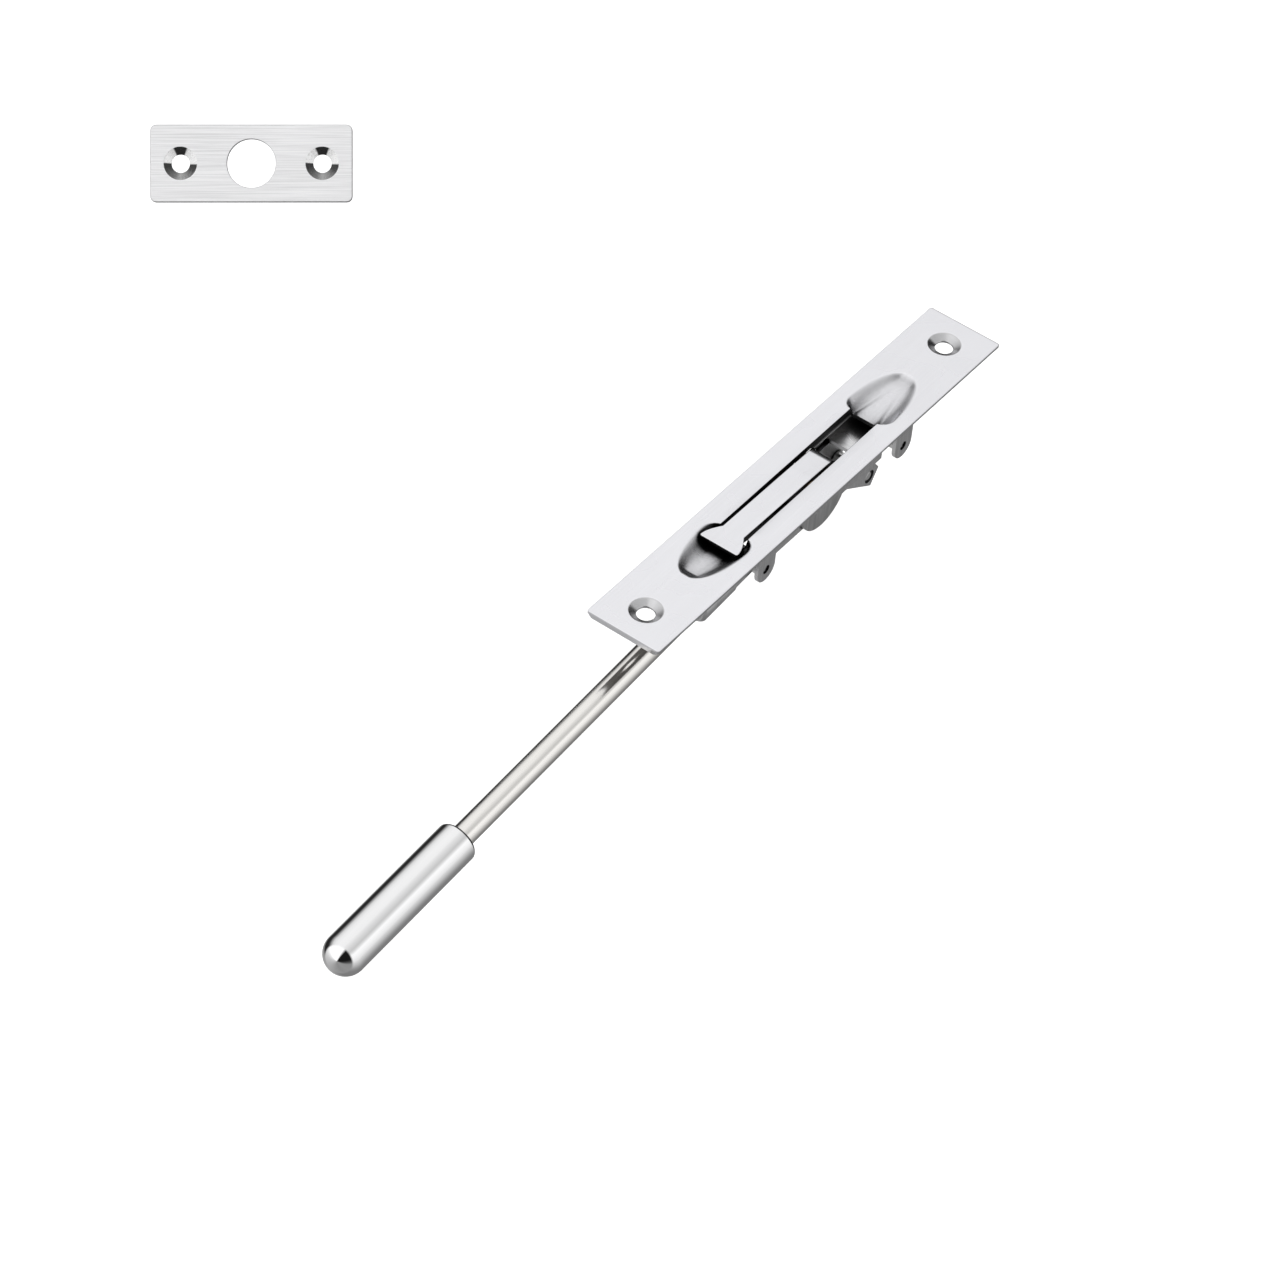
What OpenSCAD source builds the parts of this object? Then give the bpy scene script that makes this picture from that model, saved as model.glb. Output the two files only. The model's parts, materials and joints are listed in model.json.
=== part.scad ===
// Lever-action extension flush bolt with its strike plate, in millimetres.
// X runs along the faceplate, with the bolt towards -X. +Z leaves the front face.
// The origin is the centre of the faceplate's front face.
// Modelled with the lever closed, so the bolt is drawn back by its full throw.

/* [Faceplate] */
// Length of the faceplate
plate_len = 171.45; // [140:0.05:260]
// Width of the faceplate
plate_w = 25.4; // [25:0.1:40]
// Thickness of the faceplate's sheet
plate_t = 2; // [1.5:0.1:3]
// Bevel under the faceplate's long edges
plate_bevel = 1.1; // [0.4:0.1:1.3]
// Corner radius of the faceplate
plate_corner_r = 0.8; // [0.2:0.1:6]
// Distance from the faceplate's end to its screw hole
screw_end = 11.125; // [8:0.125:16]
// Diameter of the screw holes
screw_d = 5.6; // [3.5:0.1:7]
// Diameter of the countersinks at the front face
screw_head_d = 10.1; // [8:0.1:14]
// Depth of the countersinks
sink_depth = 1.4; // [1:0.1:1.4]

/* [Lever slot and finger dishes] */
// Half the length of the slot
slot_reach = 33.5; // [30:0.5:40]
// Gap between the lever and each side of the slot
slot_gap = 1; // [0.5:0.1:2]
// Length of each finger dish past the slot's end
dish_len = 22.5; // [18:0.5:26]
// Width of each finger dish at the front face
dish_w = 17; // [16.4:0.1:18]
// Depth of each finger dish
dish_depth = 2.9; // [2.7:0.1:3.2]
// Thickness of the pressed metal round a dish
dish_skin = 1.3; // [1:0.1:1.8]

/* [Lever] */
// Width of the lever
lever_w = 7.6; // [6:0.1:9]
// Length from the pivot to the lever's tip
lever_reach = 40.5; // [39:0.5:48]
// Length of the flared finger tip
flare_len = 7.5; // [5:0.5:10]
// Width of the flared finger tip
flare_w = 13.3; // [10:0.1:14.5]
// Thickness of the finger tip
tip_t = 1.1; // [0.8:0.1:1.3]
// Height of the tip's top above the front face
tip_proud = 0.4; // [0.3:0.1:1]
// Thickness of the lever at its hub
hub_t = 7.4; // [6:0.1:7.6]
// Radius of the lever's tail round the crank pin
tail_r = 4.3; // [3:0.1:5]
// Depth of the pivot's axis below the faceplate's back
pivot_drop = 1.9; // [1.8:0.1:3]

/* [Pivot and crank] */
// Diameter of the lever's pivot pin
pivot_pin_d = 2.5; // [2:0.1:3]
// Outside diameter of the spacers on the pivot pin
spacer_d = 3.3; // [3:0.1:3.4]
// Outside diameter of the bush in the lever's hub
bush_d = 4.2; // [3.6:0.1:5]
// Diameter of the friction washers beside the hub
washer_d = 5.6; // [4.6:0.1:6]
// Thickness of the friction washers
washer_t = 0.5; // [0.3:0.1:0.8]
// Diameter of the crank pin in the lever's tail
crank_pin_d = 2.6; // [2:0.1:3]
// Outside diameter of the bushes on the crank pin
crank_bush_d = 4.8; // [4:0.1:4.8]

/* [Carriage] */
// Travel of the bolt
throw = 19; // [14:0.5:24]
// Outside width of the carriage
carriage_w = 16; // [15:0.1:17]
// Sheet thickness of the carriage, yoke and drive tabs
sheet_t = 1.2; // [1:0.1:1.6]
// Depth of the carriage's web below the pivot's axis
web_drop = 3.3; // [3.1:0.1:4.5]
// Depth of the flanges' lower edges below the front face
flange_depth = 12; // [11:0.1:14]
// Half the length of the web
web_reach = 28.3; // [26:0.1:34]
// Corner radius of the web's ends
web_corner_r = 2.8; // [1:0.1:4]
// Inside radius of the bends between the web and the flanges
bend_r = 0.2; // [0.1:0.1:1]
// Length of the window that is open past the crank pin's path
window_margin = 5.2; // [3:0.1:7]
// Distance from the middle of the carriage to each end pin
end_pin_reach = 34.8; // [33:0.1:42]
// Depth of the end pins below the front face
end_pin_depth = 15.4; // [14:0.1:18]
// Diameter of the end pins
end_pin_d = 3; // [2.5:0.1:4]
// Radius of the ears round the end pins
ear_r = 4.3; // [3:0.1:5]
// How far the ends of the end pins sit inside the ears
pin_recess = 0.5; // [0.2:0.1:0.8]
// Outside diameter of the tube on the spare end pin
pin_tube_d = 4.8; // [4:0.1:7]

/* [Yoke] */
// Distance from the middle of the carriage to the yoke's rivet
yoke_rivet_reach = 19.4; // [17:0.1:24]
// Depth of the yoke's rivet below the front face
yoke_rivet_depth = 17.9; // [16:0.1:20]
// Diameter of the yoke's rivet
yoke_rivet_d = 3.4; // [2.5:0.1:4]
// Diameter of the counterbores over the yoke's rivet
yoke_counterbore_d = 4.5; // [4:0.1:5]
// Width of the yoke's sloping arms
arm_w = 6.4; // [5:0.1:8]
// Length of an arm past its rivet
arm_end = 3.4; // [2.6:0.1:5]
// Slope of the arms
arm_slope = 31; // [25:1:36]

/* [Pivot bracket] */
// Radius of the bracket's cheeks round the lever's pivot
cheek_r = 11; // [10:0.1:14]
// Sheet thickness of the bracket's cheeks
cheek_t = 1.2; // [1:0.1:1.6]
// Length of the tabs that guide the carriage
guide_len = 8; // [4:0.5:12]
// Length of the feet against the back of the faceplate
foot_len = 18; // [12:1:24]
// Width of the feet
foot_w = 2.4; // [1.5:0.1:3]

/* [Rod and bolt] */
// Angle at which the rod hangs below the faceplate
rod_droop = 5.6; // [0:0.1:8]
// Height of the rod's axis above its hinge pin
rod_offset = 1.3; // [0:0.1:2]
// Diameter of the rod
rod_d = 7; // [5:0.1:8]
// Diameter of the rod's connector
connector_d = 11.2; // [10:0.1:12.6]
// Distance from the hinge pin to the connector's shoulder
connector_start = 10.3; // [9:0.1:14]
// Length of the connector's round body
connector_len = 16; // [12:0.5:24]
// Width of the connector's eye
eye_w = 7.6; // [6:0.1:12]
// Radius of the connector's eye
eye_r = 3; // [2.8:0.1:4.2]
// Distance from the hinge pin to the bolt's shoulder
bolt_start = 132.7; // [100:0.1:300]
// Length of the bolt
bolt_len = 55.7; // [40:0.1:80]
// Diameter of the bolt
bolt_d = 12.7; // [10:0.1:16]
// Rounding of the bolt's shoulder
bolt_edge_r = 1.4; // [0.5:0.1:2.5]
// Depth to which the rod enters the bolt
bolt_socket = 30; // [20:1:36]
// Diameter of the spring pin through the connector
spring_pin_d = 2; // [1.5:0.1:3]

/* [Strike plate] */
// Length of the strike plate
strike_len = 62; // [54:0.5:90]
// Width of the strike plate
strike_w = 23.8; // [20:0.1:32]
// Thickness of the strike plate
strike_t = 2; // [1.5:0.1:3]
// Corner radius of the strike plate
strike_corner_r = 1.8; // [0.5:0.1:6]
// Distance from the strike plate's end to its screw hole
strike_screw_end = 9.25; // [7:0.05:12]
// Radial room round the bolt in the strike plate's hole
strike_clearance = 1.15; // [0.5:0.05:2]
// Place of the strike plate, which is stored loose beside the bolt
strike_place = [0, 208, 0]; // [-300:1:300]
// Angles at which the loose strike plate is shown
strike_turn = [44.6, -4.2, -53]; // [-180:0.1:180]

/* [Fits] */
// Radial clearance of the parts that turn on a pin
running_fit = 0.05; // [0.01:0.01:0.1]
// Gap between parts that slide past each other
slide_gap = 0.15; // [0.1:0.05:0.3]
// Gap between the carriage's sides and the bracket's cheeks
side_gap = 0.3; // [0.2:0.05:0.6]

/* [Hidden] */
$fn = 64;
steps = 12;
eps = 0.02;

slot_w = lever_w + 2 * slot_gap;
screw_x = plate_len / 2 - screw_end;
pivot_depth = plate_t + pivot_drop;

// The lever's centre line rises from the pivot to the tip by this angle, and it
// leans the same way the other way round when the lever is fully over.
tip_depth = tip_t / 2 - tip_proud;
lever_rise = atan((pivot_depth - tip_depth) / lever_reach);
lever_swing = 180 - 2 * lever_rise;
crank_r = throw / 2 / cos(lever_rise);

// The carriage moves evenly with the lever, so the slot in which the crank pin works
// is wider than the pin's bush by the most that the two motions differ.
lag_angle = asin(2 * cos(lever_rise) / lever_swing * 180 / PI);
crank_lag = crank_r * cos(lag_angle) - throw / 2 * (1 - 2 * (lag_angle - lever_rise) / lever_swing);
drive_slot = crank_bush_d / 2 + crank_lag + 2 * slide_gap;

carriage_x = throw / 2;
web_depth = pivot_depth + web_drop;
carriage_in = carriage_w / 2 - sheet_t;
bend_out_r = bend_r + sheet_t;
window_reach = throw / 2 + window_margin;
prong_top = pivot_depth + spacer_d / 2 + 2 * slide_gap;
prong_bottom = pivot_depth + crank_r + crank_bush_d / 2;
yoke_out = carriage_in;
yoke_in = yoke_out - sheet_t;
prong_w = 3;
crank_pin_half = yoke_out - 2 * slide_gap;
cheek_in = carriage_w / 2 + side_gap;
cheek_out = cheek_in + cheek_t;
spare_flange_depth = web_depth + sheet_t;
bolt_pin_x = carriage_x - end_pin_reach;
strike_screw_x = strike_len / 2 - strike_screw_end;
socket_room = 4;
rod_grip = 12;

// A rectangle with round corners, centred on the origin
module round_rect(length, width, r) {
    square([length - 2 * r, width], center = true);
    square([length, width - 2 * r], center = true);
    for (sx = [-1, 1], sy = [-1, 1])
        translate([sx * (length / 2 - r), sy * (width / 2 - r)]) circle(r);
}

// A rod along Y, centred on the X-Z plane
module cross_rod(r, length) {
    rotate([90, 0, 0]) cylinder(r = r, h = length, center = true);
}

// A tube along Y, centred on the X-Z plane
module cross_tube(r_out, r_in, length) {
    difference() {
        cross_rod(r_out, length);
        cross_rod(r_in, length + 2);
    }
}

// An X-Z outline given thickness along Y, centred on y
module side_plate(y, thickness) {
    translate([0, y, 0]) rotate([90, 0, 0])
        linear_extrude(thickness, center = true) children();
}

// A countersunk screw hole, with its mouth at z = 0 and the plate below
module countersink(thickness) {
    over = 1;
    mouth_d = screw_head_d + (screw_head_d - screw_d) * over / sink_depth;
    translate([0, 0, -thickness - over]) cylinder(d = screw_d, h = thickness + 2 * over);
    translate([0, 0, -sink_depth]) cylinder(d1 = screw_d, d2 = mouth_d, h = sink_depth + over);
}

// Y-Z outline that is flat on top with two round upper corners
module arch(width, top, r, bottom) {
    translate([-width / 2, bottom]) square([width, top - r - bottom]);
    translate([r - width / 2, bottom]) square([width - 2 * r, top - bottom]);
    for (side = [-1, 1]) translate([side * (width / 2 - r), top - r]) circle(r);
}

// ---- Faceplate ----

// The part of a ball of radius r below the front face's plane, with its lowest point at depth
module ball_cap(x, r, depth) {
    translate([x, 0, r - depth]) intersection() {
        sphere(r, $fn = 32);
        translate([0, 0, depth - 1.5 * r]) cube(3 * r, center = true);
    }
}

// The space of one finger dish on the +X side, grown by a skin thickness
module dish_space(skin) {
    big_r = (pow(dish_w / 2, 2) + pow(dish_depth, 2)) / (2 * dish_depth);
    small_depth = dish_depth * 0.4;
    small_w = dish_w * 0.5;
    small_r = (pow(small_w / 2, 2) + pow(small_depth, 2)) / (2 * small_depth);
    end_x = slot_reach + dish_len - small_w / 2;
    translate([0, 0, eps]) hull() {
        ball_cap(slot_reach, big_r + skin, dish_depth + skin);
        ball_cap(slot_reach + dish_len * 0.3, big_r + skin, dish_depth + skin);
        ball_cap(end_x, small_r + skin, small_depth + skin);
    }
}

// The pressed shell below the plate round one dish
module dish_shell() {
    intersection() {
        difference() {
            dish_space(dish_skin);
            dish_space(0);
        }
        translate([slot_reach, -plate_w / 2, -dish_depth - dish_skin - 1])
            cube([dish_len + 5, plate_w, dish_depth + dish_skin + 1 - plate_t / 2]);
    }
}

// The faceplate's section all along its length, with a bevel under each long edge
module plate_section() {
    edge = plate_w / 2;
    back = edge - plate_bevel;
    translate([-plate_len, 0, 0]) rotate([90, 0, 90]) linear_extrude(2 * plate_len)
        polygon([
            [-edge, 1], [edge, 1], [edge, plate_bevel - plate_t], [back, -plate_t],
            [-back, -plate_t], [-edge, plate_bevel - plate_t]
        ]);
}

module faceplate() {
    color("gainsboro") {
        difference() {
            intersection() {
                translate([0, 0, -plate_t]) linear_extrude(plate_t)
                    round_rect(plate_len, plate_w, plate_corner_r);
                plate_section();
            }
            translate([0, 0, -plate_t - 1]) linear_extrude(plate_t + 2)
                square([2 * slot_reach, slot_w], center = true);
            for (side = [0, 1]) mirror([side, 0, 0]) {
                translate([screw_x, 0, 0]) countersink(plate_t);
                intersection() {
                    dish_space(0);
                    translate([slot_reach - eps, -plate_w / 2, -plate_t - 1])
                        cube([dish_len + 5, plate_w, plate_t + 2]);
                }
            }
        }
        for (side = [0, 1]) mirror([side, 0, 0]) dish_shell();
    }
}

// ---- Pivot bracket, fixed to the back of the faceplate ----

// One cheek, on the side where y is positive
module cheek() {
    difference() {
        union() {
            side_plate((cheek_in + cheek_out) / 2, cheek_t) intersection() {
                translate([0, -pivot_depth]) circle(cheek_r);
                translate([-cheek_r - 1, -pivot_depth - cheek_r - 1])
                    square([2 * cheek_r + 2, cheek_r + 1 + pivot_depth - plate_t]);
            }
            translate([-foot_len / 2, cheek_in, -plate_t - cheek_t])
                cube([foot_len, cheek_t + foot_w, cheek_t]);
            for (z = [-web_depth + slide_gap, -flange_depth - slide_gap - cheek_t])
                translate([-guide_len / 2, carriage_in + slide_gap, z])
                    cube([guide_len, cheek_out - carriage_in - slide_gap, cheek_t]);
        }
        translate([0, 0, -pivot_depth]) cross_rod(pivot_pin_d / 2, 4 * cheek_out);
    }
}

module cheek_left() {
    color("dimgray") cheek();
}

module cheek_right() {
    color("dimgray") mirror([0, 1, 0]) cheek();
}

module pivot_pin() {
    color("silver") translate([0, 0, -pivot_depth]) cross_rod(pivot_pin_d / 2, 2 * cheek_out);
}

// The friction washers lie against the lever's hub, and the spacers against the washers
module friction_washers() {
    start = lever_w / 2 + running_fit;
    color("goldenrod") for (side = [-1, 1])
        translate([0, side * (start + washer_t / 2), -pivot_depth])
            cross_tube(washer_d / 2, pivot_pin_d / 2, washer_t);
}

module pivot_spacers() {
    start = lever_w / 2 + running_fit + washer_t;
    color("silver") for (side = [-1, 1])
        translate([0, side * (start + cheek_in) / 2, -pivot_depth])
            cross_tube(spacer_d / 2, pivot_pin_d / 2, cheek_in - start);
}

// ---- Lever ----

// The lever's own frame: the pivot is the origin and the tip lies along -X
module lever_frame() {
    translate([0, 0, -pivot_depth]) rotate([0, lever_rise, 0]) children();
}

// Side outline: a round tail, a thick hub and a thin tip
module lever_profile() {
    translate([crank_r, 0]) circle(tail_r);
    polygon([
        [-lever_reach, -tip_t / 2], [0, -hub_t / 2], [crank_r, -tail_r],
        [crank_r, tail_r], [0, hub_t / 2], [-lever_reach, tip_t / 2]
    ]);
}

// Plan outline: a straight bar that swells to the flared tip
module lever_plan() {
    neck_x = -(lever_reach - flare_len);
    swell = (flare_w - lever_w) / 2;
    tip_corner = 0.4;
    edge = [for (i = [0:steps]) let (u = i / steps)
        [neck_x - (flare_len - tip_corner) * u, lever_w / 2 + swell * sin(90 * u)]];
    front = [[-lever_reach, flare_w / 2 - tip_corner], [-lever_reach, tip_corner - flare_w / 2]];
    back = [for (i = [steps:-1:0]) [edge[i][0], -edge[i][1]]];
    polygon(concat(edge, front, back));
    translate([neck_x - eps, -lever_w / 2]) square([crank_r + tail_r - neck_x + 1, lever_w]);
}

module lever() {
    color("gainsboro") lever_frame() difference() {
        intersection() {
            side_plate(0, flare_w + 2) lever_profile();
            linear_extrude(4 * hub_t, center = true) lever_plan();
        }
        cross_rod(bush_d / 2, 2 * lever_w);
        translate([crank_r, 0, 0]) cross_rod(crank_pin_d / 2, 2 * lever_w);
    }
}

module hub_bush() {
    color("goldenrod") lever_frame()
        cross_tube(bush_d / 2, pivot_pin_d / 2 + running_fit, lever_w);
}

module crank_pin() {
    color("silver") lever_frame() translate([crank_r, 0, 0])
        cross_rod(crank_pin_d / 2, 2 * crank_pin_half);
}

module crank_bushes() {
    start = yoke_in - 2 * slide_gap;
    color("goldenrod") lever_frame() for (side = [-1, 1])
        translate([crank_r, side * (start + crank_pin_half) / 2, 0])
            cross_tube(crank_bush_d / 2, crank_pin_d / 2, crank_pin_half - start);
}

// ---- Carriage, which slides along X behind the faceplate ----

// The carriage's own frame: the origin is its middle, on the front face's plane
module carriage_frame() {
    translate([carriage_x, 0, 0]) children();
}

// X-Z outline of one side: the flange with an ear at each end
module carriage_side() {
    flange_end = end_pin_reach;
    translate([-flange_end, -flange_depth])
        square([flange_end + yoke_rivet_reach + arm_end, flange_depth - web_depth]);
    translate([0, -spare_flange_depth]) square([flange_end, sheet_t]);
    for (end = [-1, 1]) translate([end * end_pin_reach, 0]) {
        translate([0, -end_pin_depth]) circle(ear_r);
        translate([-ear_r, -end_pin_depth]) square([2 * ear_r, end_pin_depth - web_depth]);
    }
}

// The bent sheet between the web's ends, before its sides are trimmed
module carriage_channel() {
    bottom = -end_pin_depth - ear_r;
    translate([-web_reach, 0, 0]) rotate([90, 0, 90]) linear_extrude(2 * web_reach)
        difference() {
            arch(carriage_w, -web_depth, bend_out_r, bottom);
            arch(2 * carriage_in, -web_depth - sheet_t, bend_r, bottom - 1);
        }
}

module carriage() {
    color("slategray") carriage_frame() difference() {
        union() {
            intersection() {
                carriage_channel();
                side_plate(0, 2 * carriage_w) carriage_side();
            }
            for (side = [-1, 1], end = [-1, 1])
                side_plate(side * (carriage_w - sheet_t) / 2, sheet_t) intersection() {
                    carriage_side();
                    translate([end * (web_reach + end_pin_reach) - end_pin_reach, -2 * flange_depth])
                        square([2 * end_pin_reach, 2 * flange_depth]);
                }
        }
        translate([0, 0, -web_depth - sheet_t - 1]) linear_extrude(sheet_t + 2) {
            square([2 * window_reach, 2 * carriage_in], center = true);
            difference() {
                square([2 * web_reach + 2, 2 * carriage_in], center = true);
                round_rect(2 * web_reach, 2 * carriage_in, web_corner_r);
            }
        }
        for (end = [-1, 1]) translate([end * end_pin_reach, 0, -end_pin_depth])
            cross_rod(end_pin_d / 2, 2 * carriage_w);
    }
}

// X-Z outline of one yoke side: a prong behind the crank pin and an arm to the rivet
module yoke_side() {
    rivet = [yoke_rivet_reach, -yoke_rivet_depth];
    along = [cos(arm_slope), -sin(arm_slope)];
    across = [sin(arm_slope), cos(arm_slope)];
    low_end = rivet + arm_end * along - arm_w / 2 * across;
    high_end = rivet + arm_end * along + arm_w / 2 * across;
    low_start = low_end - (low_end[0] - drive_slot) / cos(arm_slope) * along;
    web_z = -web_depth - bend_out_r;
    high_start = high_end + (web_z - high_end[1]) * [-0.8, 1];
    polygon([
        [drive_slot, -prong_top], [drive_slot + prong_w, -prong_top],
        [drive_slot + prong_w, web_z], high_start, high_end, low_end, low_start
    ]);
}

module yoke() {
    bridge_x = window_reach + 1;
    bridge_len = 5;
    color("slategray") carriage_frame() difference() {
        union() {
            for (side = [-1, 1]) side_plate(side * (yoke_in + yoke_out) / 2, sheet_t) yoke_side();
            translate([bridge_x, -yoke_in - eps, -web_depth - 2 * sheet_t])
                cube([bridge_len, 2 * (yoke_in + eps), sheet_t]);
        }
        translate([yoke_rivet_reach, 0, -yoke_rivet_depth]) {
            cross_rod(yoke_rivet_d / 2, 2 * carriage_w);
            for (side = [-1, 1]) translate([0, side * yoke_out, 0])
                cross_rod(yoke_counterbore_d / 2, sheet_t);
        }
    }
}

// Two tabs inside the flanges, ahead of the crank pin
module drive_tabs() {
    color("slategray") carriage_frame() for (side = [-1, 1])
        side_plate(side * (yoke_in + yoke_out) / 2, sheet_t)
            translate([-drive_slot - prong_w, -prong_bottom])
                square([prong_w, prong_bottom - prong_top]);
}

module yoke_rivet() {
    color("silver") carriage_frame() translate([yoke_rivet_reach, 0, -yoke_rivet_depth])
        cross_rod(yoke_rivet_d / 2, 2 * yoke_out - sheet_t / 2);
}

module yoke_spacer() {
    color("silver") carriage_frame() translate([yoke_rivet_reach, 0, -yoke_rivet_depth])
        cross_tube(yoke_rivet_d / 2 + 0.8, yoke_rivet_d / 2, 2 * yoke_in);
}

// A pin across the carriage's ears at one end: -1 is the bolt's end, 1 is the spare end
module end_pin(end) {
    color("silver") carriage_frame() translate([end * end_pin_reach, 0, -end_pin_depth])
        cross_rod(end_pin_d / 2, carriage_w - 2 * pin_recess);
}

module rod_hinge_pin() {
    end_pin(-1);
}

module spare_pin() {
    end_pin(1);
}

module spare_pin_tube() {
    color("silver") carriage_frame() translate([end_pin_reach, 0, -end_pin_depth])
        cross_tube(pin_tube_d / 2, end_pin_d / 2, 2 * carriage_in);
}

// Washers that centre the connector's eye between the ears
module hinge_washers() {
    start = eye_w / 2 + running_fit;
    color("silver") for (side = [-1, 1])
        translate([bolt_pin_x, side * (start + carriage_in) / 2, -end_pin_depth])
            cross_tube(end_pin_d / 2 + 1.2, end_pin_d / 2, carriage_in - start);
}

// ---- Rod and bolt, which hang from the hinge pin ----

// The rod's own frame: the hinge pin is the origin and the rod lies along -X
module rod_frame() {
    translate([bolt_pin_x, 0, -end_pin_depth]) rotate([0, -rod_droop, 0]) children();
}

// A frame on the rod's axis with +Z towards the bolt's tip
module rod_axis(distance) {
    rod_frame() translate([-distance, 0, rod_offset]) rotate([0, -90, 0]) children();
}

module rod_connector() {
    chamfer = 1;
    r = connector_d / 2;
    color("slategray") difference() {
        union() {
            rod_axis(connector_start) rotate_extrude() polygon([
                [0, 0], [r - chamfer, 0], [r, chamfer], [r, connector_len - chamfer],
                [r - chamfer, connector_len], [0, connector_len]
            ]);
            rod_frame() side_plate(0, eye_w) {
                circle(eye_r);
                translate([-connector_start - 1, -eye_r]) square([connector_start + 1, 2 * eye_r]);
            }
        }
        rod_frame() cross_rod(end_pin_d / 2 + running_fit, 2 * eye_w);
        rod_axis(connector_start + connector_len - rod_grip) cylinder(d = rod_d, h = rod_grip + 1);
        rod_axis(connector_start + connector_len / 2) rotate([0, 90, 0])
            cylinder(d = spring_pin_d, h = 2 * connector_d, center = true);
    }
}

module connector_pin() {
    color("silver") rod_axis(connector_start + connector_len / 2) rotate([0, 90, 0])
        cylinder(d = spring_pin_d, h = connector_d - 0.6, center = true);
}

module rod() {
    start = connector_start + connector_len - rod_grip;
    color("silver") difference() {
        rod_axis(start) cylinder(d = rod_d, h = bolt_start + bolt_socket - start);
        rod_axis(connector_start + connector_len / 2) rotate([0, 90, 0])
            cylinder(d = spring_pin_d, h = 2 * connector_d, center = true);
    }
}

module bolt() {
    r = bolt_d / 2;
    e = bolt_edge_r;
    nose = bolt_len - r;
    shoulder = [for (i = [0:steps]) let (a = 90 * i / steps) [r - e + e * sin(a), e - e * cos(a)]];
    color("silver") difference() {
        rod_axis(bolt_start) {
            rotate_extrude() intersection() {
                union() {
                    polygon(concat([[0, 0]], shoulder, [[r, nose], [0, nose]]));
                    translate([0, nose]) circle(r);
                }
                square([r + 1, bolt_len + 1]);
            }
        }
        rod_axis(bolt_start - 1)
            cylinder(r = rod_d / 2 + running_fit, h = bolt_socket + socket_room + 1);
    }
}

// ---- Strike plate, a loose part ----

module strike_plate() {
    color("gainsboro") translate(strike_place) rotate(strike_turn) difference() {
        translate([0, 0, -strike_t]) linear_extrude(strike_t)
            round_rect(strike_len, strike_w, strike_corner_r);
        translate([0, 0, -strike_t - 1])
            cylinder(r = bolt_d / 2 + strike_clearance, h = strike_t + 2);
        for (end = [-1, 1]) translate([end * strike_screw_x, 0, 0])
            countersink(strike_t);
    }
}

faceplate();
cheek_left();
cheek_right();
pivot_pin();
pivot_spacers();
friction_washers();
lever();
hub_bush();
crank_pin();
crank_bushes();
carriage();
yoke();
drive_tabs();
yoke_rivet();
yoke_spacer();
rod_hinge_pin();
hinge_washers();
spare_pin();
spare_pin_tube();
rod_connector();
connector_pin();
rod();
bolt();
strike_plate();
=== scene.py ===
"""Looks for a lever-action flush bolt with its extension rod, bolt and strike plate."""
import json
from math import cos, exp, hypot, pi, radians, sin

import bmesh
import bpy
from mathutils import Matrix, Vector
from mathutils.geometry import delaunay_2d_cdt


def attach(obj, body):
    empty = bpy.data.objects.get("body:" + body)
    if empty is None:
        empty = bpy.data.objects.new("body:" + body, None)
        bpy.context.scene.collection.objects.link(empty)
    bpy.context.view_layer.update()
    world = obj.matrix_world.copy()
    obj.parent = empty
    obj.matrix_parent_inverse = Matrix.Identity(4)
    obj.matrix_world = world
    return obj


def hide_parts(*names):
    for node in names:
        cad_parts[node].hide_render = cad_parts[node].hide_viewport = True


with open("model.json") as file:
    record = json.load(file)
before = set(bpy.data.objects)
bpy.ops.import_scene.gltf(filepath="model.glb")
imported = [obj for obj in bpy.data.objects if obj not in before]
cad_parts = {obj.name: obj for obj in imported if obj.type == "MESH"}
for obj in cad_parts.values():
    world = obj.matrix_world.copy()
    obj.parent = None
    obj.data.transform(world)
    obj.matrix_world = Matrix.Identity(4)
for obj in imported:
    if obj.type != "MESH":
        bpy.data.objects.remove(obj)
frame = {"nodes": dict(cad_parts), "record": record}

# Every length below is in millimetres until a mesh is made.
MM = 0.001

PLATE_LENGTH, PLATE_WIDTH, PLATE_THICKNESS, PLATE_CORNER = 171.45, 25.4, 2.0, 0.8
PLATE_BEVEL = 1.1
SCREW_X, SCREW_RADIUS, HEAD_RADIUS, SINK_DEPTH = 74.6, 2.8, 5.05, 1.4
SLOT_REACH, SLOT_HALF_WIDTH = 33.5, 4.8

# A finger dish is an oval with a ramp that rises away from the slot, creases along the ramp's
# sides, and walls that run out softly at the rim.
DISH_START, DISH_WIDEST, DISH_END, DISH_HALF_WIDTH, DISH_SKIN = 31.2, 37.5, 56.3, 8.5, 1.2
DISH_RISE, END_WALL = 2.3, 3.6
RIM_POWER, WALL_POWER = 2.2, 1.25
RAMP_DEPTH, RAMP_END_DEPTH, RAMP_HALF_WIDTH, RAMP_END_HALF_WIDTH = 2.5, 1.4, 4.6, 1.2
RAMP_SHARE_OF_RIM = 0.6
CREASE_DEPTH, CREASE_WIDTH = 0.3, 0.85

# The back has a near-black track of painted shade round the slot, where the carriage runs, and a
# lip left by punching the slot.
TRACK_REACH, TRACK_HALF_WIDTH = 46.0, 8.0
LIP_START, LIP_DEPTH, LIP_WIDTH = 12.5, 0.5, 1.4

# Rounding of the sheets' front edges, and the flat kept upright beside each rounded edge.
PLATE_SOFT, STRIKE_SOFT, MOUTH_SOFT, SLOT_SOFT, HOLE_SOFT, GUARD = 0.22, 0.2, 0.08, 0.14, 0.12, 0.2
STRIKE_BACK_SOFT = 0.1

ROD_DROOP, ROD_OFFSET = 5.6, 1.3
HINGE_X, HINGE_Z = -25.3, -15.4
ROD_RADIUS, ROD_START, ROD_END = 3.5, 14.3, 162.7
ROD_CHAMFER = 0.3
BOLT_RADIUS, BOLT_START, BOLT_LENGTH, BOLT_EDGE = 6.35, 132.7, 55.7, 1.4
SOCKET_DEPTH, SOCKET_GAP, SOCKET_CHAMFER = 6.0, 0.15, 0.25

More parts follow.
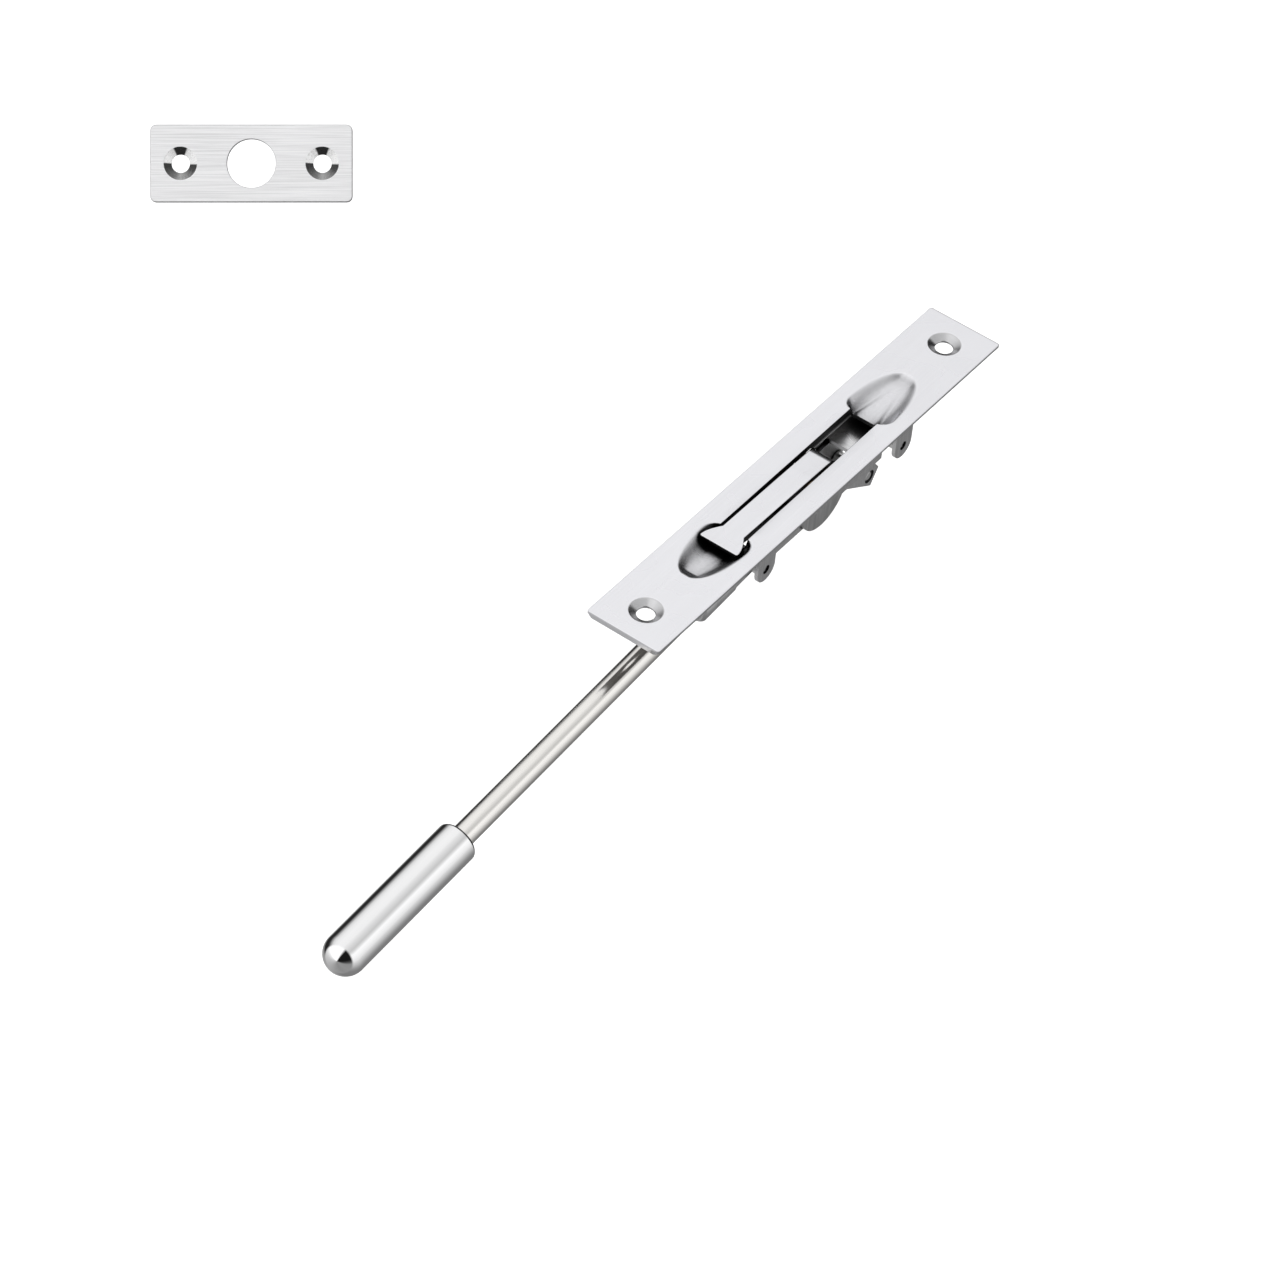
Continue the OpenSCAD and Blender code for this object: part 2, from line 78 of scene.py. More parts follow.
STRIKE_LENGTH, STRIKE_WIDTH, STRIKE_THICKNESS, STRIKE_CORNER = 62.0, 23.8, 2.0, 1.8
STRIKE_SCREW_X, STRIKE_HOLE_RADIUS = 21.75, 7.5
STRIKE_PLACE, STRIKE_TURN = (0.0, 208.0, 0.0), (44.6, -4.2, -53.0)

# The material slots of the pressed and punched sheets.
FACE, SINK, BACK, SHADED_TRACK, EDGE = range(5)


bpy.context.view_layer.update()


# ---- Meshes ----

def finished_mesh(bm, name, sharp_angle=32.0):
    """Turns a bmesh in millimetres into a smooth-shaded object in metres.

    Edges sharper than the angle, in degrees, stay crisp.
    """
    bmesh.ops.remove_doubles(bm, verts=bm.verts, dist=0.001)
    bmesh.ops.recalc_face_normals(bm, faces=bm.faces)
    bmesh.ops.scale(bm, vec=(MM, MM, MM), verts=bm.verts)
    mesh = bpy.data.meshes.new(name)
    bm.to_mesh(mesh)
    bm.free()
    mesh.polygons.foreach_set("use_smooth", [True] * len(mesh.polygons))
    mesh.set_sharp_from_angle(angle=radians(sharp_angle))
    piece = bpy.data.objects.new(name, mesh)
    bpy.context.scene.collection.objects.link(piece)
    return piece


def bridge(bm, loop_a, loop_b, material_index=FACE):
    """Quads between two closed loops of the same number of points."""
    a = [bm.verts.new(p) for p in loop_a]
    b = [bm.verts.new(p) for p in loop_b]
    count = len(a)
    for i in range(count):
        j = (i + 1) % count
        bm.faces.new((a[i], a[j], b[j], b[i])).material_index = material_index


def revolved(name, profile, segments=128):
    """A turned piece: profile is (distance along the axis, radius), and the axis is +Z."""
    bm = bmesh.new()
    rings = []
    for distance, radius in profile:
        if radius < 1e-6:
            rings.append([bm.verts.new((0, 0, distance))])
            continue
        turns = [2 * pi * i / segments for i in range(segments)]
        rings.append([bm.verts.new((radius * cos(t), radius * sin(t), distance)) for t in turns])
    for low, high in zip(rings, rings[1:]):
        for i in range(segments):
            j = (i + 1) % segments
            quad = [low[i % len(low)], low[j % len(low)], high[j % len(high)], high[i % len(high)]]
            unique = [c for k, c in enumerate(quad) if c not in quad[:k]]
            if len(unique) > 2:
                bm.faces.new(unique)
    return finished_mesh(bm, name)


def smoothstep(value):
    value = min(1.0, max(0.0, value))
    return value * value * (3 - 2 * value)


# ---- Faceplate ----

def dish_depth(x, y):
    """Depth of the pressed finger dishes below the front face."""
    along, across = abs(x), abs(y)
    if along <= DISH_START or along >= DISH_END or across >= DISH_HALF_WIDTH:
        return 0.0
    share = min(1.0, max(0.0, (along - SLOT_REACH) / (DISH_END - END_WALL - SLOT_REACH)))
    reach = DISH_WIDEST - DISH_START if along < DISH_WIDEST else DISH_END - DISH_WIDEST
    rim_half = DISH_HALF_WIDTH * (1 - (abs(along - DISH_WIDEST) / reach) ** RIM_POWER) ** 0.5
    if across >= rim_half:
        return 0.0
    ramp_half = RAMP_HALF_WIDTH + (RAMP_END_HALF_WIDTH - RAMP_HALF_WIDTH) * share
    ramp_half = min(ramp_half, RAMP_SHARE_OF_RIM * rim_half)
    depth = RAMP_DEPTH + (RAMP_END_DEPTH - RAMP_DEPTH) * share
    depth += CREASE_DEPTH * (1 - share) * exp(-((ramp_half - across) / CREASE_WIDTH) ** 2)
    ends = smoothstep((along - DISH_START) / DISH_RISE) * smoothstep((DISH_END - along) / END_WALL)
    depth *= ends
    wall = (across - ramp_half) / max(0.1, rim_half - ramp_half)
    return depth * (1 - smoothstep(max(0.0, wall) ** WALL_POWER))


def plate_top(x, y):
    return -dish_depth(x, y)


def plate_bottom(x, y):
    """The back, with the dishes' pressed skin and the lip left by punching the slot."""
    skin = max(0.0, dish_depth(x, y) + DISH_SKIN - PLATE_THICKNESS)
    lip = 0.0
    if LIP_START < abs(x) < SLOT_REACH + 0.1:
        lip = LIP_DEPTH * (1 - smoothstep((abs(y) - SLOT_HALF_WIDTH) / LIP_WIDTH))
    return -PLATE_THICKNESS - max(skin, lip)


def rectangle_loop(half_x, half_y, corner, grow, along_count, across_count, arc_count=5):
    """A closed loop round a rectangle with round corners, with as many points at any growth."""
    half_x, half_y, corner = half_x + grow, half_y + grow, max(0.01, corner + grow)
    points = []
    quarters = [(1, 1), (-1, 1), (-1, -1), (1, -1)]
    for index, (sx, sy) in enumerate(quarters):
        centre = Vector((sx * (half_x - corner), sy * (half_y - corner)))
        for step in range(arc_count + 1):
            angle = radians(90 * index + 90 * step / arc_count)
            points.append(centre + corner * Vector((cos(angle), sin(angle))))
        nx, ny = quarters[(index + 1) % 4]
        following = Vector((nx * (half_x - corner), ny * (half_y - corner)))
        outward = Vector((cos(radians(90 * index + 90)), sin(radians(90 * index + 90)))) * corner
        count = along_count if index % 2 == 0 else across_count
        for step in range(1, count):
            points.append(centre.lerp(following, step / count) + outward)
    return points


def circle_loop(centre_x, radius, count=72):
    return [
        Vector((centre_x + radius * cos(2 * pi * i / count), radius * sin(2 * pi * i / count)))
        for i in range(count)
    ]


def filled_sheet(bm, outline, openings, guards, is_open, height, fine, spacing, finish=None):
    """Triangles between an outline and its openings, lifted to the height of each point.

    Guards are further loops of points in the sheet. The points are 3 mm apart, or closer where
    fine says so, and finish gives the material slot at each point.
    """
    points, edges = [], []
    for loop in [outline] + openings + guards:
        base = len(points)
        points.extend(loop)
        edges.extend((base + i, base + (i + 1) % len(loop)) for i in range(len(loop)))
    half_x = max(p[0] for p in outline) - 0.8
    half_y = max(p[1] for p in outline) - 0.8
    coarse = 3.0
    count_x, count_y = int(2 * half_x / coarse), int(2 * half_y / coarse)
    for i in range(count_x + 1):
        for j in range(count_y + 1):
            x = -half_x + 2 * half_x * i / count_x
            spot = Vector((x, -half_y + 2 * half_y * j / count_y))
            if not fine(spot) and not is_open(spot, 0.7):
                points.append(spot)
    reach_x, reach_y = int(half_x / spacing), int(half_y / spacing)
    for i in range(-reach_x, reach_x + 1):
        for j in range(-reach_y, reach_y + 1):
            spot = Vector((i * spacing, j * spacing))
            if fine(spot) and not is_open(spot, 0.3):
                points.append(spot)
    flat, _, triangles, *_ = delaunay_2d_cdt(points, edges, [], 1, 1e-5)
    verts = {}
    for triangle in triangles:
        middle = sum((flat[i] for i in triangle), Vector((0, 0))) / 3
        if is_open(middle, 0.0):
            continue
        for i in triangle:
            if i not in verts:
                verts[i] = bm.verts.new((flat[i][0], flat[i][1], height(*flat[i])))
        face = bm.faces.new([verts[i] for i in triangle])
        face.material_index = finish(middle) if finish else FACE


def lifted(loop, height, drop=0.0):
    return [(p[0], p[1], height(p[0], p[1]) - drop) for p in loop]


def countersink(bm, centre_x, mouth, thickness):
    """The wall of one countersunk hole, with narrow bands that keep its edges crisp."""
    fall = SINK_DEPTH / (HEAD_RADIUS - SCREW_RADIUS)
    steps = [(mouth, 0.0), (HEAD_RADIUS - 0.04, 0.06)]
    cone = (HEAD_RADIUS - 0.12, HEAD_RADIUS - 0.2, SCREW_RADIUS + 0.14, SCREW_RADIUS + 0.06)
    steps += [(radius, fall * (HEAD_RADIUS - radius)) for radius in cone]
    steps += [(SCREW_RADIUS, SINK_DEPTH + 0.06), (SCREW_RADIUS, thickness)]
    for (r0, d0), (r1, d1) in zip(steps, steps[1:]):
        low = [(p[0], p[1], -d0) for p in circle_loop(centre_x, r0)]
        bridge(bm, low, [(p[0], p[1], -d1) for p in circle_loop(centre_x, r1)], SINK)


def level(height):
    return lambda x, y: height


def rim_wall(bm, rims, material_index=FACE):
    """The edge of a sheet, through loops at falling heights."""
    for (loop_a, z_a), (loop_b, z_b) in zip(rims, rims[1:]):
        bridge(bm, lifted(loop_a, level(z_a)), lifted(loop_b, level(z_b)), material_index)


def faceplate_mesh():
    """The pressed faceplate, which is finer than its CAD node."""
    soft, mouth = PLATE_SOFT, HEAD_RADIUS + MOUTH_SOFT
    half_x, half_y = PLATE_LENGTH / 2, PLATE_WIDTH / 2

    def outline(grow, narrower=0.0):
        return rectangle_loop(half_x, half_y - narrower, PLATE_CORNER, grow, 60, 10)

    def slot(grow):
        return rectangle_loop(SLOT_REACH, SLOT_HALF_WIDTH, 0.15, grow, 134, 20, 3)

    def opening(hole_radius, grow):
        def test(spot, margin):
            extra = grow + margin
            if abs(spot[0]) < SLOT_REACH + extra and abs(spot[1]) < SLOT_HALF_WIDTH + extra:
                return True
            return hypot(abs(spot[0]) - SCREW_X, spot[1]) < hole_radius + margin - 1e-3
        return test

    def near_dish(spot):
        return DISH_START - 1 < abs(spot[0]) < DISH_END + 1 and abs(spot[1]) < DISH_HALF_WIDTH + 1

    def on_track(spot):
        # The back round the slot takes the near-black painted shade.
        return SHADED_TRACK if abs(spot[0]) < TRACK_REACH and abs(spot[1]) < TRACK_HALF_WIDTH else BACK

    bm = bmesh.new()
    holes = [circle_loop(side * SCREW_X, mouth) for side in (-1, 1)]
    guards = [outline(-soft - GUARD)]
    guards += [circle_loop(side * SCREW_X, mouth + GUARD) for side in (-1, 1)]
    filled_sheet(bm, outline(-soft), [slot(SLOT_SOFT)] + holes, guards, opening(mouth, SLOT_SOFT),
                 plate_top, near_dish, 0.34)
    back_holes = [circle_loop(side * SCREW_X, SCREW_RADIUS) for side in (-1, 1)]
    filled_sheet(bm, outline(0.0, PLATE_BEVEL), [slot(0.0)] + back_holes, [],
                 opening(SCREW_RADIUS, 0.0), plate_bottom, near_dish, 0.8, on_track)
    rims = [(outline(-soft), 0.0), (outline(-0.3 * soft), -0.3 * soft), (outline(0.0), -soft),
            (outline(0.0), PLATE_BEVEL - PLATE_THICKNESS),
            (outline(0.0, PLATE_BEVEL), -PLATE_THICKNESS)]
    rim_wall(bm, rims)
    rounding = [(SLOT_SOFT, 0.0), (0.04, 0.04), (0.0, SLOT_SOFT)]
    walls = [lifted(slot(grow), plate_top, drop) for grow, drop in rounding]
    walls.append(lifted(slot(0.0), plate_bottom))
    # The slot's walls take the near-black painted shade too.
    for low, high in zip(walls, walls[1:]):
        bridge(bm, low, high, SHADED_TRACK)
    for side in (-1, 1):
        countersink(bm, side * SCREW_X, mouth, PLATE_THICKNESS)
    for face in bm.faces:
        face.normal_update()
        if abs(face.normal.y) > 0.6 and abs(face.calc_center_median().y) > half_y - 0.15:
            face.material_index = EDGE
    return finished_mesh(bm, "faceplate_pressed", 40.0)


def strike_matrix():
    """The strike plate's place, where it is stored loose beside the bolt."""
    x, y, z = (Matrix.Rotation(radians(a), 4, axis) for a, axis in zip(STRIKE_TURN, "XYZ"))
    return Matrix.Translation(Vector(STRIKE_PLACE) * MM) @ z @ y @ x


def strike_mesh():
    """The strike plate, flat and punched."""
    soft, mouth = STRIKE_SOFT, HEAD_RADIUS + MOUTH_SOFT

    def outline(grow):
        return rectangle_loop(STRIKE_LENGTH / 2, STRIKE_WIDTH / 2, STRIKE_CORNER, grow, 24, 8)

    def opening(hole_radius, centre_radius):
        def test(spot, margin):
            if hypot(spot[0], spot[1]) < centre_radius + margin - 1e-3:
                return True
            return hypot(abs(spot[0]) - STRIKE_SCREW_X, spot[1]) < hole_radius + margin - 1e-3
        return test

    def nowhere(spot):
        return False

    bm = bmesh.new()
    lip = STRIKE_HOLE_RADIUS + HOLE_SOFT
    holes = [circle_loop(side * STRIKE_SCREW_X, mouth) for side in (-1, 1)]
    guards = [outline(-soft - GUARD), circle_loop(0, lip + GUARD)]
    guards += [circle_loop(side * STRIKE_SCREW_X, mouth + GUARD) for side in (-1, 1)]
    filled_sheet(bm, outline(-soft), [circle_loop(0, lip)] + holes, guards, opening(mouth, lip),
                 level(0.0), nowhere, 1.0)
    back_holes = [circle_loop(side * STRIKE_SCREW_X, SCREW_RADIUS) for side in (-1, 1)]
    filled_sheet(bm, outline(-STRIKE_BACK_SOFT), [circle_loop(0, STRIKE_HOLE_RADIUS)] + back_holes,
                 [], opening(SCREW_RADIUS, STRIKE_HOLE_RADIUS), level(-STRIKE_THICKNESS),
                 nowhere, 1.0)
    rims = [(outline(-soft), 0.0), (outline(-0.3 * soft), -0.3 * soft), (outline(0.0), -soft),
            (outline(0.0), STRIKE_BACK_SOFT - STRIKE_THICKNESS),
            (outline(-STRIKE_BACK_SOFT), -STRIKE_THICKNESS)]
    rim_wall(bm, rims, EDGE)
    rim_wall(bm, [(circle_loop(0, lip), 0.0), (circle_loop(0, STRIKE_HOLE_RADIUS), -HOLE_SOFT),
                  (circle_loop(0, STRIKE_HOLE_RADIUS), -STRIKE_THICKNESS)], EDGE)
    for side in (-1, 1):
        countersink(bm, side * STRIKE_SCREW_X, mouth, STRIKE_THICKNESS)
    piece = finished_mesh(bm, "strike_brushed", 40.0)
    piece.data.transform(strike_matrix())
    return piece


# ---- Rod and bolt ----

def rod_matrix(distance):
    """The frame on the rod's axis, this far from its hinge, with +Z towards the bolt's tip."""
    hinge = Matrix.Translation(Vector((HINGE_X, 0, HINGE_Z)) * MM)
    droop = Matrix.Rotation(radians(-ROD_DROOP), 4, "Y")
    along = Matrix.Translation(Vector((-distance, 0, ROD_OFFSET)) * MM)
    return hinge @ droop @ along @ Matrix.Rotation(radians(-90), 4, "Y")


def bolt_mesh():
    """The round-nosed bolt, with a socket for the rod's end."""
    r, e = BOLT_RADIUS, BOLT_EDGE
    socket = ROD_RADIUS + SOCKET_GAP
    profile = [(SOCKET_DEPTH, 0.0), (SOCKET_DEPTH, socket), (SOCKET_CHAMFER, socket),
               (0.0, socket + SOCKET_CHAMFER)]
    profile += [(e - e * cos(radians(a)), r - e + e * sin(radians(a))) for a in range(0, 91, 9)]
    nose = BOLT_LENGTH - r
    profile += [(nose * i / 8, r) for i in range(1, 8) if nose * i / 8 > e]
    profile += [(nose + r * sin(radians(a)), r * cos(radians(a))) for a in range(0, 90, 3)]
    profile.append((BOLT_LENGTH, 0.0))
    piece = revolved("bolt_turned", profile)
    piece.data.transform(rod_matrix(BOLT_START))
    return piece


def rod_mesh():
    """The rod between its connector and the bolt, with a chamfer at each end."""
    length, cut = ROD_END - ROD_START, ROD_CHAMFER
    profile = [(0.0, 0.0), (0.0, ROD_RADIUS - cut), (cut, ROD_RADIUS)]
    profile += [(length * i / 12, ROD_RADIUS) for i in range(1, 12)]
    profile += [(length - cut, ROD_RADIUS), (length, ROD_RADIUS - cut), (length, 0.0)]
    piece = revolved("rod_drawn", profile)
    piece.data.transform(rod_matrix(ROD_START))
    return piece


# ---- Materials ----

def new_material(name):
    material = bpy.data.materials.new(name)
    material.use_nodes = True
    nodes, links = material.node_tree.nodes, material.node_tree.links
    return material, nodes, links, nodes["Principled BSDF"]


def coordinates(nodes, links, place=None):
    """Points in the piece's own coordinates, or in those of a sheet stored at a place."""
    texture = nodes.new("ShaderNodeTexCoord")
    if place is None:
        return texture.outputs["Object"]
    back = place.inverted()
    mapping = nodes.new("ShaderNodeMapping")
    mapping.inputs["Location"].default_value = back.to_translation()
    mapping.inputs["Rotation"].default_value = back.to_euler("XYZ")
    links.new(texture.outputs["Object"], mapping.inputs["Vector"])
    return mapping.outputs["Vector"]


def noise(nodes, links, scale, detail=3.0, place=None):
    """Noise in cycles per metre along each axis."""
    mapping = nodes.new("ShaderNodeMapping")
    mapping.inputs["Scale"].default_value = scale
    texture = nodes.new("ShaderNodeTexNoise")
    texture.inputs["Scale"].default_value = 1.0
    texture.inputs["Detail"].default_value = detail
    links.new(coordinates(nodes, links, place), mapping.inputs["Vector"])
    links.new(mapping.outputs["Vector"], texture.inputs["Vector"])
    return texture.outputs["Fac"]


def ranged(nodes, links, value, low, high, out_low=0.0, out_high=1.0, smooth=True):
    """A value that runs from out_low to out_high while the input runs from low to high."""
    span = nodes.new("ShaderNodeMapRange")
    if smooth:
        span.interpolation_type = "SMOOTHSTEP"
    span.inputs["From Min"].default_value = low
    span.inputs["From Max"].default_value = high
    span.inputs["To Min"].default_value = out_low
    span.inputs["To Max"].default_value = out_high
    links.new(value, span.inputs["Value"])
    return span.outputs["Result"]


def band(nodes, links, share, brightness):
    """A grey from a list of (degrees, brightness), where the share runs through a full turn."""
    ramp = nodes.new("ShaderNodeValToRGB")
    stops = ramp.color_ramp.elements
    stops.remove(stops[-1])
    for index, (turn, value) in enumerate(brightness):
        place = (turn + 180) / 360
        stop = stops[0] if index == 0 else stops.new(place)
        stop.position = place
        stop.color = (value, value, value, 1)
    links.new(share, ramp.inputs["Fac"])
    return ramp.outputs["Color"]


def spread(nodes, links, source, low, high):
    """A value that runs from low to high over the middle of a noise."""
    return ranged(nodes, links, source, 0.25, 0.75, low, high)


def tinted(nodes, links, colour, source, low, high):
    """The colour, lightened and darkened by a noise."""
    scale = nodes.new("ShaderNodeVectorMath")
    scale.operation = "SCALE"
    scale.inputs[0].default_value = colour
    links.new(spread(nodes, links, source, low, high), scale.inputs["Scale"])
    return scale.outputs["Vector"]


def painted_hollow_shade(nodes, links, colour, reach, dark_below, clear_above, darkest):
    """The colour with painted shade, darkened where other metal closes in within a reach in
    millimetres.
    """
    around = nodes.new("ShaderNodeAmbientOcclusion")
    around.samples = 16
    around.inputs["Distance"].default_value = reach * MM
    light = ranged(nodes, links, around.outputs["AO"], dark_below, clear_above, darkest, 1.0)
    scale = nodes.new("ShaderNodeVectorMath")
    scale.operation = "SCALE"
    links.new(colour, scale.inputs[0])
    links.new(light, scale.inputs["Scale"])
    return scale.outputs["Vector"]


def metal(name, colour, roughness, grain, contrast=0.04, bump=0.0, rough_spread=0.04, metallic=1.0,
          painted_shade=(), place=None):
    """A metal whose grain is fine noise stretched along one axis, with painted shade where other
    metal closes in.
    """
    material, nodes, links, shader = new_material(name)
    shader.inputs["Metallic"].default_value = metallic
    fine = noise(nodes, links, grain, 4.0, place)
    cloud = noise(nodes, links, (60, 60, 60), 2.0)
    surface = tinted(nodes, links, colour, fine, 1 - contrast, 1 + contrast)
    # Each layer paints shade into the colour where other metal closes in.
    for layer in painted_shade:
        surface = painted_hollow_shade(nodes, links, surface, *layer)
    links.new(surface, shader.inputs["Base Color"])
    links.new(spread(nodes, links, cloud, roughness - rough_spread, roughness + rough_spread),
              shader.inputs["Roughness"])
    if bump > 0:
        relief = nodes.new("ShaderNodeBump")
        relief.inputs["Strength"].default_value = bump
        relief.inputs["Distance"].default_value = 0.00004
        links.new(fine, relief.inputs["Height"])
        links.new(relief.outputs["Normal"], shader.inputs["Normal"])
    return material


# Painted reflection on the strike plate's countersinks: brightness in degrees round each hole from
# its length.
SINK_PAINTED_REFLECTION = [
    (-180, 0.02), (-165, 0.03), (-140, 0.1), (-110, 0.2), (-90, 0.42), (-60, 0.25), (-30, 0.05),
    (-6, 0.02), (0, 0.9), (62, 0.95), (68, 0.02), (112, 0.02), (118, 0.95), (176, 0.9), (180, 0.02)
]


def painted_reflection_sink(name, place):
    """Polished countersinks with a painted reflection that turns from dark to bright round each
    screw hole.
    """
    material, nodes, links, shader = new_material(name)
    shader.inputs["Metallic"].default_value = 0.3
    split = nodes.new("ShaderNodeSeparateXYZ")
    links.new(coordinates(nodes, links, place), split.inputs["Vector"])

    def maths(operation, first, second):
        node = nodes.new("ShaderNodeMath")
        node.operation = operation
        for socket, value in zip(node.inputs, (first, second)):
            if isinstance(value, float):
                socket.default_value = value
            else:
                links.new(value, socket)
        return node.outputs["Value"]

    side = maths("SIGN", split.outputs["X"], 0.0)
    from_hole = maths("SUBTRACT", split.outputs["X"], maths("MULTIPLY", side, STRIKE_SCREW_X * MM))
    turn = maths("ARCTAN2", split.outputs["Y"], from_hole)
    share = ranged(nodes, links, turn, -pi, pi, smooth=False)
    links.new(band(nodes, links, share, SINK_PAINTED_REFLECTION), shader.inputs["Base Color"])
    fine = noise(nodes, links, (900, 900, 900), 3.0)
    links.new(spread(nodes, links, fine, 0.2, 0.35), shader.inputs["Roughness"])
    return material


# The layers of painted shade, darkened where other metal closes in, are (reach in millimetres, dark
# below, clear above, darkest).
def materials():
    strike = strike_matrix()
    return {
        "satin_steel": metal(
            "satin_steel", (0.9, 0.9, 0.93), 0.27, (25, 1800, 1800), 0.015, 0.06, 0.015,
            painted_shade=[(13, 0.8, 0.99, 0.02)]),
        "polished_sink": metal(
            "polished_sink", (0.66, 0.66, 0.67), 0.24, (300, 300, 300), 0.05,
            painted_shade=[(1.5, 0.3, 0.9, 0.15)]),
        "sheared_edge": metal(
            "sheared_edge", (0.5, 0.5, 0.51), 0.4, (60, 900, 900), 0.12, 0.1),
        "rolled_back": metal(
            "rolled_back", (0.3, 0.29, 0.28), 0.42, (40, 900, 900), 0.12, 0.1, 0.06),
        # Near-black painted shade for the back round the slot and for the slot's walls.
        "painted_shade_track": metal(
            "painted_shade_track", (0.03, 0.03, 0.03), 0.5, (90, 700, 700), 0.3, 0.1, 0.1),
        # pressed_steel and bright_steel are one steel in two copies: the darker copy paints shade
        # on the parts deep inside, the lighter copy paints light on the parts seen through the
        # slot.
        "pressed_steel": metal(
            "pressed_steel", (0.62, 0.62, 0.625), 0.36, (900, 260, 90), 0.14, 0.15, 0.08,
            painted_shade=[(2.2, 0.35, 0.85, 0.05)]),
        "bright_steel": metal(
            "bright_steel", (0.8, 0.8, 0.81), 0.26, (900, 260, 90), 0.1, 0.1, 0.05,
            painted_shade=[(1.6, 0.35, 0.85, 0.04), (9, 0.4, 0.78, 0.02)]),
        "pin_steel": metal(
            "pin_steel", (0.85, 0.85, 0.85), 0.2, (900, 120, 900), 0.05, 0.05,
            painted_shade=[(0.9, 0.45, 0.95, 0.02)]),
        "bronze": metal(
            "bronze", (0.3, 0.2, 0.11), 0.4, (500, 500, 500), 0.1, 0.05),
        "nickel_rod": metal(
            "nickel_rod", (0.9, 0.88, 0.85), 0.16, (14, 900, 900), 0.015, 0.02, 0.02),
        "polished_bolt": metal(
            "polished_bolt", (0.93, 0.93, 0.935), 0.05, (30, 400, 400), 0.01, 0.01, 0.015),
        "brushed_strike": metal(
            "brushed_strike", (0.93, 0.93, 0.94), 0.42, (35, 2200, 2200), 0.12, 0.3,
            metallic=0.1, place=strike),
        "strike_sink_painted_reflection": painted_reflection_sink("strike_sink_painted_reflection", strike),
    }


def paint(piece, *looks):
    """Gives the piece its looks. Clearing an empty list would reset the faces' slots."""
    if len(piece.data.materials) > 0:
        piece.data.materials.clear()
    for look in looks:
        piece.data.materials.append(look)


def soften(piece, width, segments=2):
    """Small bevels on the hard edges of a CAD piece."""
    weld = piece.modifiers.new("weld", "WELD")
    weld.merge_threshold = 0.000002
    flat = piece.modifiers.new("flat", "DECIMATE")
    flat.decimate_type = "DISSOLVE"
    flat.angle_limit = radians(0.4)
    bevel = piece.modifiers.new("bevel", "BEVEL")
    bevel.width = width * MM
    bevel.segments = segments
    bevel.limit_method = "ANGLE"
    bevel.angle_limit = radians(38)
    bevel.use_clamp_overlap = True
    bevel.miter_outer = "MITER_ARC"
    weights = piece.modifiers.new("weights", "WEIGHTED_NORMAL")
    weights.keep_sharp = True


# ---- Studio ----

def camera():
    """A long lens that looks down on the faceplate from the bolt's side."""
    heading, dip, roll = radians(32.74), radians(-45.25), radians(5.96)
    forward = Vector((cos(heading) * cos(dip), sin(heading) * cos(dip), sin(dip)))
    flat_right = Vector((sin(heading), -cos(heading), 0))
    upright = flat_right.cross(forward)
    right = flat_right * cos(roll) + upright * sin(roll)
    up = right.cross(forward)
    place = Matrix.Translation((-0.9162, -0.5401, 0.9966))
    data = bpy.data.cameras.new("camera")
    data.lens, data.sensor_width = 140.8, 36.0
    data.clip_start, data.clip_end = 0.05, 20.0
    eye = bpy.data.objects.new("camera", data)
    bpy.context.scene.collection.objects.link(eye)
    turn = Matrix((right, up, -forward)).transposed().to_4x4()
    eye.matrix_world = place @ turn
    bpy.context.scene.camera = eye


# Brightness of the room by direction, measured in degrees round the X axis from +Y over the top.
# The first list is the half of the room towards +X, and the second is the half towards -X.
ROOM_AHEAD = [
    (-180, 0.83), (-170, 0.67), (-155, 0.49), (-141, 0.33), (-123, 0.22), (-90, 0.2), (-62, 0.42),
    (-32, 0.3), (-22, 0.02), (0, 0.02), (8, 0.08), (14, 0.25), (22, 0.5), (28, 0.72), (43, 0.9),
    (62, 0.95), (88, 0.93), (105, 0.77), (127, 0.6), (136, 0.75), (147, 1.05), (164, 0.97),
    (180, 0.83)
]
ROOM_BEHIND = [
    (-180, 0.12), (-170, 0.28), (-140, 0.3), (-110, 0.27), (-80, 0.33), (-60, 0.42), (-40, 0.52),
    (-20, 0.62), (0, 0.85), (12, 1.1), (96, 1.1), (104, 0.4), (110, 0.01), (162, 0.01), (172, 0.05),
    (180, 0.12)
]


def room():
    """A soft studio of bright and dark bands, which the metal mirrors."""
    world = bpy.data.worlds.new("room")
    bpy.context.scene.world = world
    world.use_nodes = True
    nodes, links = world.node_tree.nodes, world.node_tree.links
    place = nodes.new("ShaderNodeTexCoord")
    split = nodes.new("ShaderNodeSeparateXYZ")
    links.new(place.outputs["Generated"], split.inputs["Vector"])
    angle = nodes.new("ShaderNodeMath")
    angle.operation = "ARCTAN2"
    links.new(split.outputs["Z"], angle.inputs[0])
    links.new(split.outputs["Y"], angle.inputs[1])
    share = ranged(nodes, links, angle.outputs["Value"], -pi, pi, smooth=False)
    mix = nodes.new("ShaderNodeMix")
    mix.data_type = "RGBA"
    links.new(ranged(nodes, links, split.outputs["X"], -0.42, -0.22), mix.inputs["Factor"])
    links.new(band(nodes, links, share, ROOM_BEHIND), mix.inputs["A"])
    links.new(band(nodes, links, share, ROOM_AHEAD), mix.inputs["B"])
    far_end = nodes.new("ShaderNodeVectorMath")
    far_end.operation = "SCALE"
    links.new(mix.outputs["Result"], far_end.inputs[0])
    links.new(ranged(nodes, links, split.outputs["X"], 0.72, 0.84, 1.0, 0.03),
              far_end.inputs["Scale"])
    links.new(far_end.outputs["Vector"], nodes["Background"].inputs["Color"])


def fill_light():
    """A soft fill square to the strike plate's face that the metal doesn't mirror."""
    data = bpy.data.lights.new("fill", "SUN")
    data.energy, data.angle = 0.42, radians(60)
    data.use_shadow = False
    light = bpy.data.objects.new("fill", data)
    light.rotation_euler = [radians(a) for a in STRIKE_TURN]
    light.visible_glossy = False
    bpy.context.scene.collection.objects.link(light)


